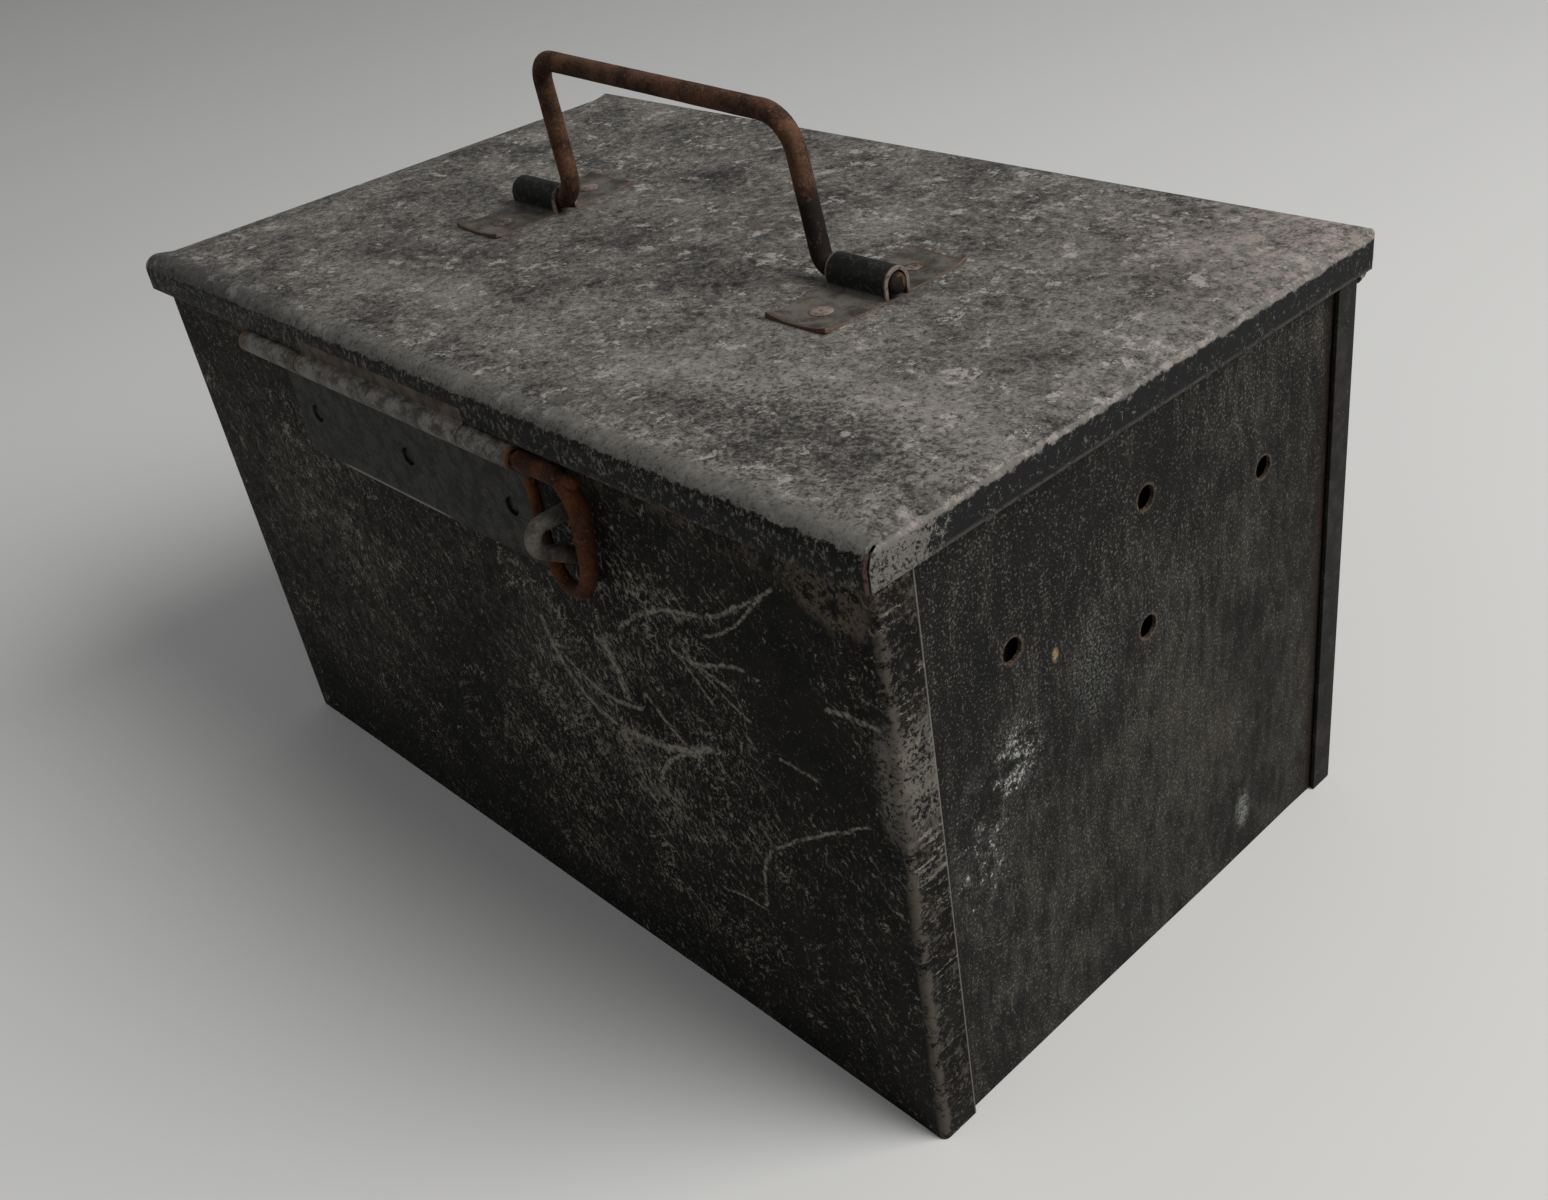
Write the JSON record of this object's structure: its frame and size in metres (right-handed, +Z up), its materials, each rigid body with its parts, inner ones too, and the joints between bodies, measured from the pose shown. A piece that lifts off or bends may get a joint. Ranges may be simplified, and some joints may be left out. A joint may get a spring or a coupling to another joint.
{
  "type": "toolbox with tray",
  "caption": "Small folded sheet steel toolbox with a hinged lid, wire carrying handle, lock-pin latch with padlock staple, and a lift-out tray.",
  "frame": {"origin": "middle of the underside of the box", "axes": "+X along the length to the right as seen from the front, -Y out of the front face, +Z up"},
  "size_m": [0.3252, 0.2042, 0.2286],
  "materials": {
    "black_paint": "worn black paint over sheet steel, scratched to grey",
    "lid_paint": "dull grey-black paint, mottled and rubbed pale at the edges",
    "worn_steel": "bare worn steel with remains of black paint",
    "rusty_wire": "brown rusted steel, matt",
    "tray_paint": "satin black paint, lightly worn"
  },
  "bodies": {
    "box": {"front_panel": "black_paint", "back_panel": "black_paint", "left_end_panel": "black_paint", "right_end_panel": "black_paint", "bottom_panel": "black_paint", "tray_bracket_left_front": "black_paint", "tray_bracket_left_back": "black_paint", "tray_bracket_right_front": "black_paint", "tray_bracket_right_back": "black_paint", "rear_hinge_body_leaf": "black_paint", "rear_hinge_pin": "worn_steel", "rear_hinge_rivet_1": "worn_steel", "rear_hinge_rivet_2": "worn_steel", "rear_hinge_rivet_3": "worn_steel", "rear_hinge_rivet_4": "worn_steel", "latch_body_leaf": "black_paint", "latch_rivet_1": "worn_steel", "latch_rivet_2": "worn_steel", "latch_rivet_3": "worn_steel", "padlock_staple": "worn_steel"},
    "lid": {"lid_shell": "lid_paint", "latch_lid_leaf": "worn_steel", "rear_hinge_lid_leaf": "black_paint", "handle_strap_left": "worn_steel", "handle_strap_right": "worn_steel", "strap_rivet_left_front": "rusty_wire", "strap_rivet_left_back": "rusty_wire", "strap_rivet_right_front": "rusty_wire", "strap_rivet_right_back": "rusty_wire"},
    "handle": {"carry_handle": "rusty_wire"},
    "pin": {"lock_pin": "rusty_wire"},
    "pin_loop": {"lock_pin_loop": "rusty_wire"},
    "tray": {"tray_pan": "tray_paint", "tray_long_divider": "tray_paint", "tray_cross_divider_left": "tray_paint", "tray_cross_divider_right": "tray_paint"}
  },
  "joints": [
    {"name": "lid_open", "type": "hinge", "parent": "box", "child": "lid", "pos_m": [0, 0.09505, 0.166], "axis": [-1, 0, 0], "range_deg": [0, 105]},
    {"name": "handle_fold", "type": "hinge", "parent": "lid", "child": "handle", "pos_m": [0, 0, 0.1827], "axis": [1, 0, 0], "range_deg": [-90, 90]},
    {"name": "lock_pin_draw", "type": "slide", "parent": "box", "child": "pin", "axis": [1, 0, 0], "range_m": [0, 0.145]},
    {"name": "loop_swing", "type": "hinge", "parent": "pin", "child": "pin_loop", "pos_m": [0.05, -0.0956, 0.1648], "axis": [-1, 0, 0], "range_deg": [0, 110]},
    {"name": "tray_lift", "type": "slide", "parent": "box", "child": "tray", "axis": [0, 0, 1], "range_m": [0, 0.082]}
  ],
  "couplings": [
    {"joint": "tray_lift", "follows": "lid_open", "m_per_rad": 0.0447}
  ]
}
